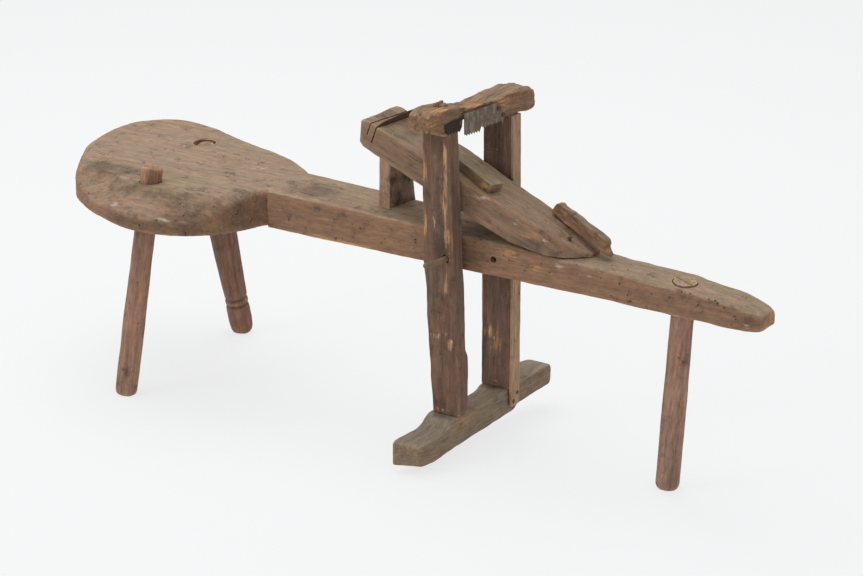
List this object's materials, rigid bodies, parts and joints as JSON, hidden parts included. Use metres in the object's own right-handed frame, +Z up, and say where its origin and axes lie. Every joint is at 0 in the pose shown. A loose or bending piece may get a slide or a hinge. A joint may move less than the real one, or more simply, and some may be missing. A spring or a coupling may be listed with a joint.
{
  "type": "shaving horse",
  "caption": "Three-legged shaving horse with a sloping work table and a foot-worked swinging clamp frame on a wooden pin.",
  "frame": {"origin": "on the floor under the middle of the whole horse's bounding box", "axes": "+X from the seat to the nose, +Y to the rider's left, +Z up"},
  "size_m": [1.485, 0.4454, 0.653],
  "materials": {
    "worn_plank": "bare, worn, grey-brown",
    "leg_wood": "bare, worn, red-brown with traces of old paint",
    "frame_wood": "bare, weathered, dark brown",
    "bare_wood": "bare, broken or rubbed orange-brown",
    "blade_iron": "grey saw plate with rust",
    "rusty_iron": "dark rust"
  },
  "bodies": {
    "bench": {"bench_plank": "worn_plank", "near_seat_leg": "leg_wood", "far_seat_leg": "leg_wood", "nose_leg": "leg_wood", "near_seat_leg_wedge": "bare_wood", "far_seat_leg_wedge": "bare_wood", "nose_leg_wedge": "bare_wood", "riser_block": "worn_plank", "riser_nail_1": "rusty_iron", "riser_nail_2": "rusty_iron", "work_table": "worn_plank", "table_foot_nail_1": "rusty_iron", "table_foot_nail_2": "rusty_iron", "jaw_plate": "rusty_iron", "table_strip": "worn_plank", "strip_nail": "rusty_iron", "side_stick": "bare_wood", "side_stick_nail": "rusty_iron"},
    "frame": {"head_bar": "bare_wood", "near_upright": "frame_wood", "far_upright": "frame_wood", "near_head_wedge": "bare_wood", "far_head_wedge": "bare_wood", "saw_blade": "blade_iron", "blade_offcut": "rusty_iron", "blade_nail_1": "rusty_iron", "blade_nail_2": "rusty_iron", "offcut_nail": "rusty_iron", "treadle": "frame_wood", "near_treadle_peg": "bare_wood", "far_treadle_peg": "bare_wood", "cheek_nail_1": "rusty_iron", "cheek_nail_2": "rusty_iron"},
    "pin": {"pivot_pin": "leg_wood"}
  },
  "joints": [
    {"name": "frame_swing", "type": "hinge", "parent": "bench", "child": "frame", "pos_m": [0.15352, -0.00534, 0.374], "axis": [0, 1, 0], "range_deg": [-24, 60]},
    {"name": "pin_pull", "type": "slide", "parent": "bench", "child": "pin", "axis": [0, -1, 0], "range_m": [0, 0.2]}
  ]
}
